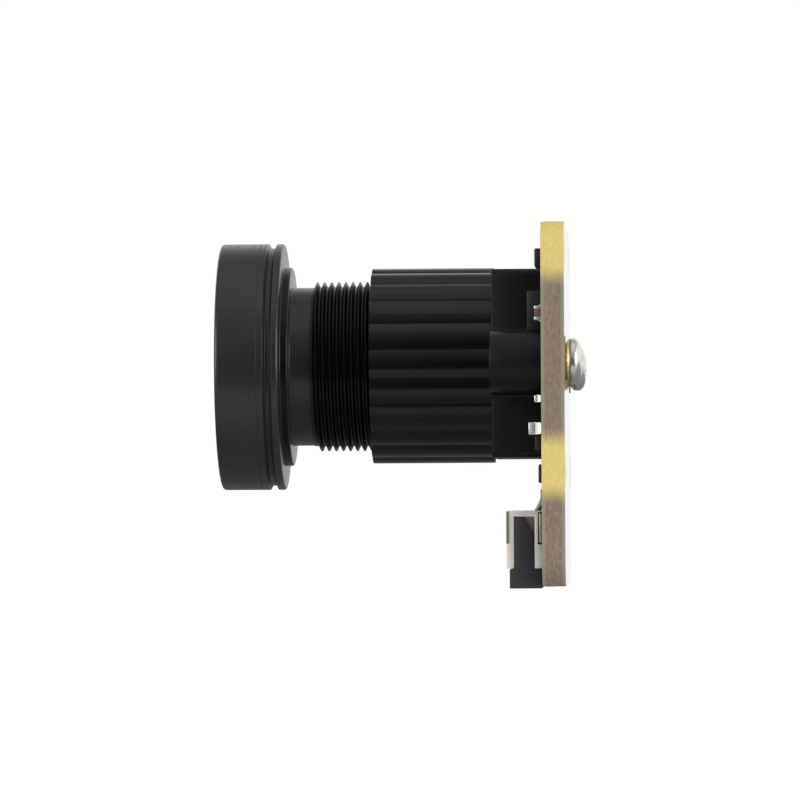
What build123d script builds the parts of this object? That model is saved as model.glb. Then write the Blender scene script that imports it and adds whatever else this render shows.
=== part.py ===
from build123d import *
from math import sqrt
import os

# Board camera module: a lens screwed into a reeded holder on a square circuit board.
# The lens axis is Y and the lens looks along -Y. The board's back face is the plane Y = 0,
# and "forward" below means a distance from that face towards the lens, so Y = -forward.
# Plane.XZ looks along -Y, so its offset and its extrusions are forward distances.

# Circuit board: its outline is set by what it carries and by the margins around that
board_thickness = 1.6
board_corner_radius = 2.0
mounting_hole_diameter = 2.2
mounting_hole_spacing_z = 15.0
mounting_hole_side_margin = 2.0
mounting_hole_top_margin = 2.1
screw_side_margin = 2.5
socket_side_margin = 1.7
parts_row = 2.2

# Lens holder, around the lens's thread
thread_diameter = 11.9
thread_clearance = 0.07
holder_wall = 0.91
base_setback = 0.38
bore_diameter = thread_diameter + 2 * thread_clearance
reeded_diameter = bore_diameter + 2 * holder_wall
base_size = reeded_diameter - 2 * base_setback
base_depth = 3.55
base_corner_radius = 0.5
ear_radius = 2.1
reed_count = 22
reed_radius = 2.0
reeded_length = 8.5
bore_lead_in = 0.3
sensor_room_size = 10.4
sensor_room_depth = 2.1
window_diameter = 8.0
window_wall = 0.8
filter_size = 9.2
filter_thickness = 0.3
filter_clearance = 0.05

# Holder screws, from the back of the board
screw_diameter = 1.6
screw_clearance_hole = 1.9
screw_pilot_clearance = 0.02
screw_length = 4.4
screw_tip_room = 0.3
screw_head_diameter = 3.2
screw_head_height = 1.15
screw_recess_width = 0.42
screw_recess_length = 1.7
screw_recess_depth = 0.7
pad_diameter = 4.0
pad_thickness = 0.05

# Lens, with its places given forward from the front face of the board
thread_rear = 4.2
thread_front = 16.14
thread_pitch = 0.5
thread_depth = 0.28
cut_thread_turns = 11
neck_relief = 0.395
neck_diameter = thread_diameter - 2 * neck_relief
step_ring_diameter = 13.95
step_ring_rear = 17.65
flange_rear = 18.21
head_diameter = 17.3
head_groove_rear = 18.70
head_groove_front = 19.32
head_groove_depth = 0.3
cap_rear = 19.75
cap_front = 22.65
edge_break = 0.22
lens_chamfer = 0.25
spigot_diameter = 15.9
spigot_clearance = 0.04
spigot_wall = 0.8
hood_front_diameter = 15.2
hood_rear_diameter = 12.6
front_cap_lip = 0.45

# Glass and rings inside the lens
fit_clearance = 0.03
spigot_height = 0.6
front_glass_edge = 0.9
front_glass_bulge = 1.45
front_glass_hollow = 1.4
front_glass_rear_diameter = 8.8
neck_wall = 0.705
stem_wall = 1.75
lip_step = 0.6
front_bore_diameter = neck_diameter - 2 * neck_wall
rear_bore_diameter = thread_diameter - 2 * stem_wall
lip_diameter = rear_bore_diameter - 2 * lip_step
lip_rear = 13.6
lip_front = 15.0
polished_margin = 0.4
polished_diameter = lip_diameter - 2 * polished_margin
glass_bulge = 0.45
second_glass_edge = 1.6
third_glass_edge = 1.8
stop_thickness = 0.15
stop_hole_diameter = 2.6
fourth_glass_edge = 2.05
rear_spacer_length = 1.2
rear_glass_edge = 1.8
ring_wall = 0.55
retainer_length = 0.7

# Image sensor
sensor_size = 8.4
sensor_height = 0.9
sensor_wall = 0.5
sensor_floor = 0.35
die_width = 6.3
die_height = 5.0
die_thickness = 0.25
cover_glass_thickness = 0.4

# Flat-cable connector, with its places above the bottom edge of the board
contact_count = 15
contact_pitch = 1.0
contact_width = 0.3
contact_thickness = 0.2
contact_bump = 0.18
contact_tail = 1.45
contact_slot_clearance = 0.04
contact_side_room = 0.6
socket_end = 2.7
socket_height = 2.45
socket_top = 5.2
socket_bottom = 1.25
socket_outer_wall = 0.5
socket_inner_wall = 0.53
socket_roof = 0.4
cable_gap = 0.4
cable_offset = 0.9
lock_clearance = 0.05
lock_bar_bottom = -0.12
lock_bar_height = 2.25
lock_tongue_length = 2.4
lock_tongue_thickness = 0.55
arm_room = 0.9
arm_tip_width = 0.68
arm_slant_drop = 1.27
tab_length = 2.0
tab_width = 1.3
tab_reach = 0.5
tab_thickness = 0.2
tab_room = 0.1

# Outline of the board, and what lines up with it
cable_width = contact_count * contact_pitch + 2 * contact_side_room
socket_width = cable_width + 2 * socket_end
board_width = socket_width + 2 * socket_side_margin
mounting_hole_spacing_x = board_width - 2 * mounting_hole_side_margin
screw_spacing = board_width - 2 * screw_side_margin
axis_to_top_edge = mounting_hole_spacing_z / 2 + mounting_hole_top_margin
board_height = axis_to_top_edge + base_size / 2 + parts_row + contact_tail + socket_top

# Small parts on the lens side of the board, beside the holder's base and its ears
small_case_length = 1.0
small_case_width = 0.5
small_case_height = 0.5
large_case_length = 1.6
large_case_width = 0.84
large_case_height = 0.9
outer_column = 3.85
edge_column = 4.25
near_ear = 0.45
off_ear = 1.22
far_off_ear = 2.48
above_base_room = 0.2
resistor_height = 0.32
resistor_spacing = 2.2
corner_resistor_column = 1.65
corner_resistor_rise = 3.0
chip_width = 1.3
tall_chip_length = 2.75
tall_chip_height = 1.02
tall_chip_column = 1.5
tall_chip_rise = 1.45
long_chip_length = 2.9
long_chip_height = 0.6
small_chip_size = 1.0
small_chip_height = 0.52
small_chip_column = 1.95
small_chip_fall = 3.47
low_chip_height = 0.33
base_side = base_size / 2
row_middle = base_side + parts_row / 2
chip_end_share = 0.24
chip_end_skin = 0.03
chip_standoff = 0.04
chip_corner = 0.08
oscillator_width = 2.5
oscillator_height = 2.0
oscillator_base_thickness = 0.45
oscillator_lid_thickness = 0.2
oscillator_lid_margin = 0.15
oscillator_column = 1.1
oscillator_fall = 1.8

# Each one: place in X, place in Z, size in X, size in Z, height off the board
small_case = (small_case_length, small_case_width, small_case_height)
large_case = (large_case_length, large_case_width, large_case_height)
above_base = base_side + above_base_room + chip_width / 2
capacitors = [
    (base_side + outer_column, ear_radius + off_ear, small_case_width, small_case_length, small_case_height),
    (base_side + edge_column, -ear_radius - near_ear, *small_case),
    (base_side + outer_column, -ear_radius - far_off_ear, *large_case),
    (-base_side - outer_column, ear_radius + off_ear, *large_case),
    (-base_side - edge_column, -ear_radius - near_ear, *small_case),
    (-small_case_length * 2, above_base, *small_case),
    (-small_case_length * 4, above_base, *small_case),
]
resistors = [
    (resistor_spacing * (turn - 1.5), -row_middle, small_case_length, small_case_width, resistor_height)
    for turn in range(4)
]
resistors.append((
    -base_side - corner_resistor_column, ear_radius + corner_resistor_rise,
    small_case_length, small_case_width, resistor_height,
))
chips = [
    (2 * chip_width, above_base, long_chip_length, chip_width, long_chip_height),
    (base_side + tall_chip_column, ear_radius + tall_chip_rise, chip_width, tall_chip_length, tall_chip_height),
    (base_side + small_chip_column, -ear_radius - small_chip_fall, small_chip_size, small_chip_size,
     small_chip_height),
    (base_side, -row_middle, small_chip_size, chip_width, low_chip_height),
    (-base_side - small_chip_size, -row_middle, large_case_length, chip_width, low_chip_height),
]
oscillator_place = (
    -base_side - oscillator_column - oscillator_width / 2, -ear_radius - oscillator_fall - oscillator_height / 2
)


def forward(distance):
    """Sketch plane at a distance in front of the board's back face."""
    return Plane.XZ.offset(distance)


front_face = board_thickness
board_centre_z = axis_to_top_edge - board_height / 2
board_bottom_z = axis_to_top_edge - board_height
screw_places = [(side * screw_spacing / 2, 0) for side in (-1, 1)]

# Circuit board
with BuildPart() as circuit_board:
    with BuildSketch(forward(0)):
        with Locations((0, board_centre_z)):
            RectangleRounded(board_width, board_height, board_corner_radius)
        with GridLocations(mounting_hole_spacing_x, mounting_hole_spacing_z, 2, 2):
            Circle(mounting_hole_diameter / 2, mode=Mode.SUBTRACT)
        with Locations(*screw_places):
            Circle(screw_clearance_hole / 2, mode=Mode.SUBTRACT)
    extrude(amount=board_thickness)
circuit_board.part.label = "circuit_board"

# Bare metal pads under the screw heads
with BuildPart() as screw_pads:
    with BuildSketch(forward(0)):
        with Locations(*screw_places):
            Circle(pad_diameter / 2)
            Circle(screw_clearance_hole / 2, mode=Mode.SUBTRACT)
    extrude(amount=-pad_thickness)
screw_pads.part.label = "screw_pads"

# Lens holder: a square base with two screw ears, and a barrel of rounded reeds around the bore
base_front = front_face + base_depth
barrel_front = base_front + reeded_length
ledge_front = front_face + sensor_room_depth + filter_thickness + window_wall
pilot_depth = screw_length - pad_thickness - board_thickness + screw_tip_room
reed_circle = reeded_diameter / 2 - reed_radius

with BuildPart() as lens_holder:
    with BuildSketch(forward(front_face)):
        RectangleRounded(base_size, base_size, base_corner_radius)
        SlotCenterToCenter(screw_spacing, 2 * ear_radius)
    extrude(amount=base_depth)
    with BuildSketch(forward(base_front)):
        Circle(reed_circle)
        with PolarLocations(reed_circle, reed_count):
            Circle(reed_radius)
    extrude(amount=reeded_length)
    with BuildSketch(forward(ledge_front)):
        Circle(bore_diameter / 2)
    extrude(amount=barrel_front - ledge_front, mode=Mode.SUBTRACT)
    with BuildSketch(forward(barrel_front)):
        Circle(bore_diameter / 2 + bore_lead_in)
    extrude(amount=-bore_lead_in, taper=45, mode=Mode.SUBTRACT)
    with BuildSketch(forward(front_face)):
        Rectangle(sensor_room_size, sensor_room_size)
    extrude(amount=sensor_room_depth, mode=Mode.SUBTRACT)
    with BuildSketch(forward(front_face + sensor_room_depth)):
        Rectangle(filter_size, filter_size)
    extrude(amount=filter_thickness, mode=Mode.SUBTRACT)
    with BuildSketch(forward(ledge_front)):
        Circle(window_diameter / 2)
    extrude(amount=-window_wall, mode=Mode.SUBTRACT)
    with BuildSketch(forward(front_face)):
        with Locations(*screw_places):
            Circle(screw_diameter / 2 + screw_pilot_clearance)
    extrude(amount=pilot_depth, mode=Mode.SUBTRACT)
lens_holder.part.label = "lens_holder"

# Infrared filter, glued into its recess behind the window
with BuildPart() as infrared_filter:
    with BuildSketch(forward(front_face + sensor_room_depth)):
        Rectangle(filter_size - 2 * filter_clearance, filter_size - 2 * filter_clearance)
    extrude(amount=filter_thickness)
infrared_filter.part.label = "infrared_filter"

# Holder screws: pan heads with a cross recess, seated on the pads
head_bearing_radius = screw_head_diameter / 2 - edge_break
with BuildPart() as holder_screws:
    for place_x, place_z in screw_places:
        with BuildSketch(Plane.XY) as screw_profile:
            with BuildLine():
                seat = pad_thickness
                top = pad_thickness + screw_head_height
                crown_radius = screw_head_diameter * 0.18
                rim = screw_head_diameter / 2
                l1 = Polyline((0, seat - screw_length), (screw_diameter / 2 - 0.25, seat - screw_length),
                              (screw_diameter / 2, seat - screw_length + 0.25),
                              (screw_diameter / 2, seat), (head_bearing_radius, seat))
                l2 = Line(l1 @ 1, (rim, seat + edge_break))
                l3 = Polyline(l2 @ 1, (rim, seat + screw_head_height * 0.42),
                              (rim * 0.81, seat + screw_head_height * 0.84), (crown_radius, top), (0, top))
                l4 = Line(l3 @ 1, (0, seat - screw_length))
            make_face()
        revolved = revolve(axis=Axis.Y, mode=Mode.PRIVATE)
        add(Pos(place_x, 0, place_z) * revolved)
    with BuildSketch(forward(-(pad_thickness + screw_head_height))):
        with Locations(*screw_places):
            Rectangle(screw_recess_length, screw_recess_width)
            Rectangle(screw_recess_width, screw_recess_length)
    extrude(amount=screw_recess_depth, taper=12, mode=Mode.SUBTRACT)
holder_screws.part.label = "holder_screws"


def ahead(distance):
    """Sketch height of a place given forward from the front face of the board."""
    return -(front_face + distance)


def ring(outer_diameter, inner_diameter, rear, front):
    """Plain ring about the lens axis, between two places forward from the board."""
    with BuildPart() as piece:
        with BuildSketch(forward(front_face + rear)):
            Circle(outer_diameter / 2)
            Circle(inner_diameter / 2, mode=Mode.SUBTRACT)
        extrude(amount=front - rear)
    return piece


def halfway(clear, bulge):
    """Height of a spherical face at half its clear radius."""
    sphere = (clear**2 + bulge**2) / (2 * abs(bulge))
    fall = sphere - sqrt(sphere**2 - (clear / 2) ** 2)
    return bulge - fall if bulge > 0 else bulge + fall


def glass(diameter, rear, front, rear_clear, front_clear, rear_bulge, front_bulge):
    """Lens element: a ground edge, and a polished spherical face at each end.

    A bulge is how far the middle of a face stands out beyond its edge: zero for a flat face, and
    negative for a hollow one.
    """
    rim = diameter / 2
    a = rear_clear / 2
    b = front_clear / 2
    with BuildPart() as piece:
        with BuildSketch(Plane.XY):
            with BuildLine():
                edge = Polyline((a, ahead(rear)), (rim, ahead(rear)), (rim, ahead(front)), (b, ahead(front)))
                middle = Line((0, ahead(front + front_bulge)), (0, ahead(rear - rear_bulge)))
                if front_bulge == 0:
                    Line(edge @ 1, middle @ 0)
                else:
                    ThreePointArc(edge @ 1, (b / 2, ahead(front + halfway(b, front_bulge))), middle @ 0)
                if rear_bulge == 0:
                    Line(middle @ 1, edge @ 0)
                else:
                    ThreePointArc(middle @ 1, (a / 2, ahead(rear - halfway(a, rear_bulge))), edge @ 0)
            make_face()
        revolve(axis=Axis.Y)
    return piece


# Lens barrel: one turned piece, from the threaded stem to the head and its spigot
head_radius = head_diameter / 2
neck_radius = neck_diameter / 2
step_radius = step_ring_diameter / 2
groove_radius = head_radius - head_groove_depth
groove_slope = head_groove_depth * 0.55
spigot_radius = spigot_diameter / 2
spigot_front = cap_rear + spigot_height
front_glass_front = spigot_front + fit_clearance
front_glass_rear = front_glass_front - front_glass_edge
rear_bore_radius = rear_bore_diameter / 2
crest_radius = thread_diameter / 2

# The thread is drawn as rings at its pitch, where it shows in front of the holder
thread_outline = []
for turn in range(cut_thread_turns, 0, -1):
    crest = thread_front - lens_chamfer - turn * thread_pitch
    thread_outline.append((crest_radius, ahead(crest)))
    thread_outline.append((crest_radius - thread_depth, ahead(crest + thread_pitch / 2)))

with BuildPart() as lens_barrel:
    with BuildSketch(Plane.XY):
        with BuildLine():
            Polyline(
                (rear_bore_radius, ahead(thread_rear)),
                (crest_radius - lens_chamfer, ahead(thread_rear)),
                (crest_radius, ahead(thread_rear + lens_chamfer)),
                *thread_outline,
                (crest_radius, ahead(thread_front - lens_chamfer)),
                (neck_radius, ahead(thread_front)),
                (neck_radius, ahead(step_ring_rear)),
                (step_radius, ahead(step_ring_rear)),
                (step_radius, ahead(flange_rear)),
                (head_radius, ahead(flange_rear)),
                (head_radius, ahead(head_groove_rear)),
                (groove_radius, ahead(head_groove_rear + groove_slope)),
                (groove_radius, ahead(head_groove_front - groove_slope)),
                (head_radius, ahead(head_groove_front)),
                (head_radius, ahead(cap_rear)),
                (spigot_radius, ahead(cap_rear)),
                (spigot_radius, ahead(spigot_front)),
                (spigot_radius - spigot_wall, ahead(spigot_front)),
                (spigot_radius - spigot_wall, ahead(front_glass_rear)),
                (front_bore_diameter / 2, ahead(front_glass_rear)),
                (front_bore_diameter / 2, ahead(lip_front)),
                (lip_diameter / 2, ahead(lip_front)),
                (lip_diameter / 2, ahead(lip_rear)),
                (rear_bore_radius, ahead(lip_rear)),
                close=True,
            )
        make_face()
        turned_corners = [Vector(step_radius, ahead(step_ring_rear)), Vector(head_radius, ahead(flange_rear))]
        chamfer([v for v in vertices() if any((v.center() - c).length < 0.01 for c in turned_corners)], edge_break)
    revolve(axis=Axis.Y)
lens_barrel.part.label = "lens_barrel"

# Front cap: screws over the spigot, and its lip holds the front glass in its seat
lip_seat = front_glass_front + fit_clearance
hood_step = lip_seat + front_cap_lip
cap_bore = spigot_radius + spigot_clearance
with BuildPart() as front_cap:
    with BuildSketch(Plane.XY):
        with BuildLine():
            Polyline(
                (cap_bore, ahead(cap_rear)),
                (head_radius, ahead(cap_rear)),
                (head_radius, ahead(cap_front - lens_chamfer)),
                (head_radius - lens_chamfer, ahead(cap_front)),
                (hood_front_diameter / 2, ahead(cap_front)),
                (hood_rear_diameter / 2, ahead(hood_step)),
                (hood_rear_diameter / 2, ahead(lip_seat)),
                (cap_bore, ahead(lip_seat)),
                close=True,
            )
        make_face()
    revolve(axis=Axis.Y)
front_cap.part.label = "front_cap"

# Glass and rings, from the front to the rear: each one seats on the next
front_glass = glass(
    spigot_diameter - 2 * (spigot_wall + fit_clearance), front_glass_rear, front_glass_front,
    front_glass_rear_diameter, hood_rear_diameter, -front_glass_hollow, front_glass_bulge,
)
front_glass.part.label = "front_glass"

front_ring_diameter = front_bore_diameter - 2 * fit_clearance
rear_ring_diameter = rear_bore_diameter - 2 * fit_clearance
front_ring_hole = front_ring_diameter - 2 * ring_wall
second_front = lip_front + second_glass_edge
front_spacer = ring(front_ring_diameter, front_ring_hole, second_front, front_glass_rear)
front_spacer.part.label = "front_spacer"
second_glass = glass(
    front_ring_diameter, lip_front, second_front,
    polished_diameter, front_ring_hole, 0, glass_bulge,
)
second_glass.part.label = "second_glass"

third_rear = lip_rear - third_glass_edge
third_glass = glass(
    rear_ring_diameter, third_rear, lip_rear,
    polished_diameter, polished_diameter, 0, glass_bulge,
)
third_glass.part.label = "third_glass"
stop_rear = third_rear - stop_thickness
aperture_stop = ring(rear_ring_diameter, stop_hole_diameter, stop_rear, third_rear)
aperture_stop.part.label = "aperture_stop"
fourth_rear = stop_rear - fourth_glass_edge
fourth_glass = glass(
    rear_ring_diameter, fourth_rear, stop_rear,
    polished_diameter, polished_diameter, glass_bulge, 0,
)
fourth_glass.part.label = "fourth_glass"
rear_glass_front = fourth_rear - rear_spacer_length
rear_spacer = ring(rear_ring_diameter, rear_ring_diameter - 2 * ring_wall, rear_glass_front, fourth_rear)
rear_spacer.part.label = "rear_spacer"
rear_glass_rear = rear_glass_front - rear_glass_edge
rear_glass = glass(
    rear_ring_diameter, rear_glass_rear, rear_glass_front,
    polished_diameter, polished_diameter, 0, glass_bulge,
)
rear_glass.part.label = "rear_glass"
rear_retainer = ring(
    rear_ring_diameter, polished_diameter, rear_glass_rear - retainer_length, rear_glass_rear
)
rear_retainer.part.label = "rear_retainer"

# Image sensor: a package with a raised rim, the die on its floor and a glass lid
package_floor = front_face + sensor_floor
package_top = front_face + sensor_height
with BuildPart() as sensor_package:
    with BuildSketch(forward(front_face)):
        Rectangle(sensor_size, sensor_size)
    extrude(amount=sensor_height)
    with BuildSketch(forward(package_floor)):
        Rectangle(sensor_size - 2 * sensor_wall, sensor_size - 2 * sensor_wall)
    extrude(amount=sensor_height - sensor_floor, mode=Mode.SUBTRACT)
sensor_package.part.label = "sensor_package"

with BuildPart() as sensor_die:
    with BuildSketch(forward(package_floor)):
        Rectangle(die_width, die_height)
    extrude(amount=die_thickness)
sensor_die.part.label = "sensor_die"

with BuildPart() as sensor_cover_glass:
    with BuildSketch(forward(package_top)):
        Rectangle(sensor_size, sensor_size)
    extrude(amount=cover_glass_thickness)
sensor_cover_glass.part.label = "sensor_cover_glass"

# Flat-cable connector, drawn in side view: (Y, Z) with the board's front face at Y = -front_face
socket_ceiling_z = board_bottom_z + socket_top - socket_roof
socket_top_z = board_bottom_z + socket_top
socket_mouth_z = board_bottom_z + socket_bottom
room_outer = socket_height - socket_outer_wall
room_height = room_outer - socket_inner_wall
contact_places = [(i - (contact_count - 1) / 2) * contact_pitch for i in range(contact_count)]


def slab(x_from, x_to, out_from, out_to, z_from, z_to, mode=Mode.ADD):
    """Block from x_from to x_to, between two heights off the board's front face."""
    with Locations(((x_from + x_to) / 2, ahead((out_from + out_to) / 2), (z_from + z_to) / 2)):
        Box(x_to - x_from, out_to - out_from, z_to - z_from, mode=mode)


with BuildPart() as cable_socket:
    half = socket_width / 2
    slab(-half, half, 0, socket_height, socket_mouth_z, socket_top_z)
    slab(-cable_width / 2, cable_width / 2, socket_inner_wall, room_outer,
         socket_mouth_z, socket_ceiling_z, Mode.SUBTRACT)
    for side in (-1, 1):
        inner = half - arm_room
        slab(min(side * inner, side * half), max(side * inner, side * half), socket_inner_wall, room_outer,
             socket_mouth_z, socket_ceiling_z, Mode.SUBTRACT)
        tab_inner = half - tab_width + tab_reach - tab_room
        slab(min(side * tab_inner, side * half), max(side * tab_inner, side * half), 0,
             tab_thickness + tab_room, socket_top_z - tab_length - 2 * tab_room - tab_room,
             socket_top_z - tab_room, Mode.SUBTRACT)
    for x in contact_places:
        slot = contact_width / 2 + contact_slot_clearance
        slab(x - slot, x + slot, 0, socket_inner_wall + contact_thickness + contact_slot_clearance,
             socket_ceiling_z, socket_top_z, Mode.SUBTRACT)
cable_socket.part.label = "cable_socket"

# Contacts: a foot on the board, a rise through the roof and a beam with a bump for the cable
beam_low = socket_inner_wall + fit_clearance
beam_top = beam_low + contact_thickness
beam_length = socket_top - socket_bottom - socket_roof
with BuildPart() as cable_contacts:
    for x in contact_places:
        with BuildSketch(Plane.YZ.offset(x - contact_width / 2)):
            with BuildLine():
                Polyline(
                    (ahead(0), socket_top_z + contact_tail),
                    (ahead(0), socket_top_z + contact_tail * 0.4),
                    (ahead(beam_low), socket_top_z - contact_thickness),
                    (ahead(beam_low), socket_top_z - beam_length * 0.9),
                    (ahead(beam_top), socket_top_z - beam_length * 0.9),
                    (ahead(beam_top + contact_bump), socket_top_z - beam_length * 0.8),
                    (ahead(beam_top), socket_top_z - beam_length * 0.66),
                    (ahead(beam_top), socket_top_z - contact_thickness),
                    (ahead(beam_top - contact_thickness * 1.75), socket_top_z + contact_tail * 0.25),
                    (ahead(contact_thickness), socket_top_z + contact_tail * 0.6),
                    (ahead(contact_thickness), socket_top_z + contact_tail),
                    close=True,
                )
            make_face()
        extrude(amount=contact_width)
cable_contacts.part.label = "cable_contacts"

# Anchor tabs that solder the ends of the connector to the board
with BuildPart() as anchor_tabs:
    for side in (-1, 1):
        tab_outer = side * (half + tab_reach)
        tab_inside = tab_outer - side * tab_width
        slab(min(tab_outer, tab_inside), max(tab_outer, tab_inside), 0, tab_thickness,
             socket_top_z - 2 * tab_room - tab_length, socket_top_z - 2 * tab_room)
anchor_tabs.part.label = "anchor_tabs"

# Cable lock: a bar with a slot for the cable, a tongue that presses on it and an arm at each end
bar_top_z = socket_mouth_z - lock_clearance
bar_bottom_z = board_bottom_z + lock_bar_bottom
tongue_low = cable_offset + cable_gap
arm_outer = room_outer - lock_clearance
arm_top_z = socket_ceiling_z - lock_clearance
with BuildPart() as cable_lock:
    slab(-half, half, lock_clearance, lock_bar_height, bar_bottom_z, bar_top_z)
    slab(-cable_width / 2, cable_width / 2, cable_offset, tongue_low, bar_bottom_z, bar_top_z, Mode.SUBTRACT)
    tongue_half = cable_width / 2 - lock_clearance
    slab(-tongue_half, tongue_half, tongue_low, tongue_low + lock_tongue_thickness,
         bar_top_z, bar_top_z + lock_tongue_length)
    arm_width = arm_room - 2 * lock_clearance
    for side in (-1, 1):
        arm_start = min(side * (half - arm_room + lock_clearance), side * (half - lock_clearance))
        with BuildSketch(Plane.YZ.offset(arm_start)):
            with BuildLine():
                Polyline(
                    (ahead(arm_outer), bar_top_z),
                    (ahead(arm_outer), arm_top_z),
                    (ahead(arm_outer - arm_tip_width), arm_top_z),
                    (ahead(socket_inner_wall + 2 * lock_clearance), arm_top_z - arm_slant_drop),
                    (ahead(socket_inner_wall + lock_clearance), bar_top_z),
                    close=True,
                )
            make_face()
        extrude(amount=arm_width)
cable_lock.part.label = "cable_lock"


def end_blocks(x, z, size_x, size_z, height):
    """Metal ends of a chip part, at the ends of its longer side: they wrap a little around the body."""
    along_x = size_x > size_z
    end_x = size_x * chip_end_share if along_x else size_x
    end_z = size_z if along_x else size_z * chip_end_share
    for side in (-1, 1):
        middle_x = x + side * (size_x - end_x) / 2
        middle_z = z + side * (size_z - end_z) / 2
        slab(middle_x - end_x / 2, middle_x + end_x / 2, 0, height,
             middle_z - end_z / 2, middle_z + end_z / 2)


def body_block(x, z, size_x, size_z, height):
    """Body of a chip part, between its two ends."""
    between = 0.5 - chip_end_share
    along_x = size_x > size_z
    half_x = size_x * between if along_x else size_x / 2 - chip_end_skin
    half_z = size_z / 2 - chip_end_skin if along_x else size_z * between
    slab(x - half_x, x + half_x, chip_end_skin, height - chip_end_skin, z - half_z, z + half_z)


with BuildPart() as capacitor_bodies:
    for x, z, size_x, size_z, height in capacitors:
        body_block(x, z, size_x, size_z, height)
capacitor_bodies.part.label = "capacitor_bodies"

with BuildPart() as capacitor_ends:
    for x, z, size_x, size_z, height in capacitors:
        end_blocks(x, z, size_x, size_z, height)
capacitor_ends.part.label = "capacitor_ends"

with BuildPart() as resistor_bodies:
    for x, z, size_x, size_z, height in resistors:
        body_block(x, z, size_x, size_z, height)
resistor_bodies.part.label = "resistor_bodies"

with BuildPart() as resistor_ends:
    for x, z, size_x, size_z, height in resistors:
        end_blocks(x, z, size_x, size_z, height)
resistor_ends.part.label = "resistor_ends"

# Moulded chips, with the top edges drafted as moulds leave them
with BuildPart() as moulded_chips:
    for x, z, size_x, size_z, height in chips:
        with BuildSketch(forward(front_face + chip_standoff)):
            with Locations((x, z)):
                Rectangle(size_x, size_z)
        extrude(amount=height - chip_standoff)
    chamfer([e for f in faces().filter_by(Axis.Y) if f.normal_at().Y < 0 for e in f.edges()], chip_corner)
moulded_chips.part.label = "moulded_chips"

# Clock oscillator: a ceramic base under a metal lid
osc_x, osc_z = oscillator_place
with BuildPart() as oscillator_base:
    with BuildSketch(forward(front_face)):
        with Locations((osc_x, osc_z)):
            Rectangle(oscillator_width, oscillator_height)
    extrude(amount=oscillator_base_thickness)
oscillator_base.part.label = "oscillator_base"

with BuildPart() as oscillator_lid:
    with BuildSketch(forward(front_face + oscillator_base_thickness)):
        with Locations((osc_x, osc_z)):
            Rectangle(oscillator_width - 2 * oscillator_lid_margin, oscillator_height - 2 * oscillator_lid_margin)
    extrude(amount=oscillator_lid_thickness)
oscillator_lid.part.label = "oscillator_lid"

pieces = [
    circuit_board, screw_pads, lens_holder, infrared_filter, holder_screws,
    lens_barrel, front_cap, front_glass, front_spacer, second_glass, third_glass, aperture_stop,
    fourth_glass, rear_spacer, rear_glass, rear_retainer,
    sensor_package, sensor_die, sensor_cover_glass,
    cable_socket, cable_contacts, anchor_tabs, cable_lock,
    capacitor_bodies, capacitor_ends, resistor_bodies, resistor_ends,
    moulded_chips, oscillator_base, oscillator_lid,
]
os.makedirs("parts", exist_ok=True)
for piece in pieces:
    export_step(piece.part, f"parts/{piece.part.label}.step")
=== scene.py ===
import math

import bmesh
import bpy
from mathutils import Matrix, Vector, noise


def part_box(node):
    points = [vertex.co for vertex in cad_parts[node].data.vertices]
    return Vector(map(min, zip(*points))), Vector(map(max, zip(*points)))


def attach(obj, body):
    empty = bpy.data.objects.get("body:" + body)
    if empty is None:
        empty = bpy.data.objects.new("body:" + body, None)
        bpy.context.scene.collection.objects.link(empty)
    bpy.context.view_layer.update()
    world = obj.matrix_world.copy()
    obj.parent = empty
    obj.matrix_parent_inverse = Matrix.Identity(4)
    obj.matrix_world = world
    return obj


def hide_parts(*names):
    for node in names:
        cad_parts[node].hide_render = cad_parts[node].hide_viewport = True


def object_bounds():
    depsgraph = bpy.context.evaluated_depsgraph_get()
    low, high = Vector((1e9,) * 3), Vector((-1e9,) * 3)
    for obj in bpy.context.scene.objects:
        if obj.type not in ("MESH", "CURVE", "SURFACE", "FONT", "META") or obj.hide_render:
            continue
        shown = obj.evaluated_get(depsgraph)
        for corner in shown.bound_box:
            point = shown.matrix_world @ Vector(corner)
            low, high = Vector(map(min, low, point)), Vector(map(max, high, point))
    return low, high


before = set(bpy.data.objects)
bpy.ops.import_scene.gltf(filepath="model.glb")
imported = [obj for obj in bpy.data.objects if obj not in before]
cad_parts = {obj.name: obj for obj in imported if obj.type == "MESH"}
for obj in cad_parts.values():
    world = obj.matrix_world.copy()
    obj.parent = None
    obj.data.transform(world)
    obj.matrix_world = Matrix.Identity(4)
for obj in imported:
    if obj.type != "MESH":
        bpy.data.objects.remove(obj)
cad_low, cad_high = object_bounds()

# Camera: level with the lens, at the side of the board, as the photograph was taken.
# Angles in degrees and lengths in mm, in the frame of the part: lens towards -Y, top +Z.
MM = 0.001
view_distance = 400 * MM
view_target = Vector((0, -11.785, -2.378)) * MM
view_yaw, view_pitch, view_roll = (math.radians(a) for a in (2.631, -1.071, -0.314))
towards_camera = Vector((
    math.cos(view_pitch) * math.cos(view_yaw),
    math.cos(view_pitch) * math.sin(view_yaw),
    math.sin(view_pitch),
))
level_right = (-towards_camera).cross(Vector((0, 0, 1))).normalized()
level_up = level_right.cross(-towards_camera)
rolled_right = math.cos(view_roll) * level_right + math.sin(view_roll) * level_up
rolled_up = -math.sin(view_roll) * level_right + math.cos(view_roll) * level_up
camera = bpy.data.objects.new("camera", bpy.data.cameras.new("camera"))
camera.data.sensor_width = 36
camera.data.lens = 255.9
camera.data.clip_start = 0.01
camera.matrix_world = Matrix.Translation(view_target + view_distance * towards_camera) @ Matrix(
    (rolled_right, rolled_up, towards_camera)
).transposed().to_4x4()
bpy.context.collection.objects.link(camera)
scene = bpy.context.scene
scene.camera = camera
scene.view_settings.view_transform = "Standard"

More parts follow.
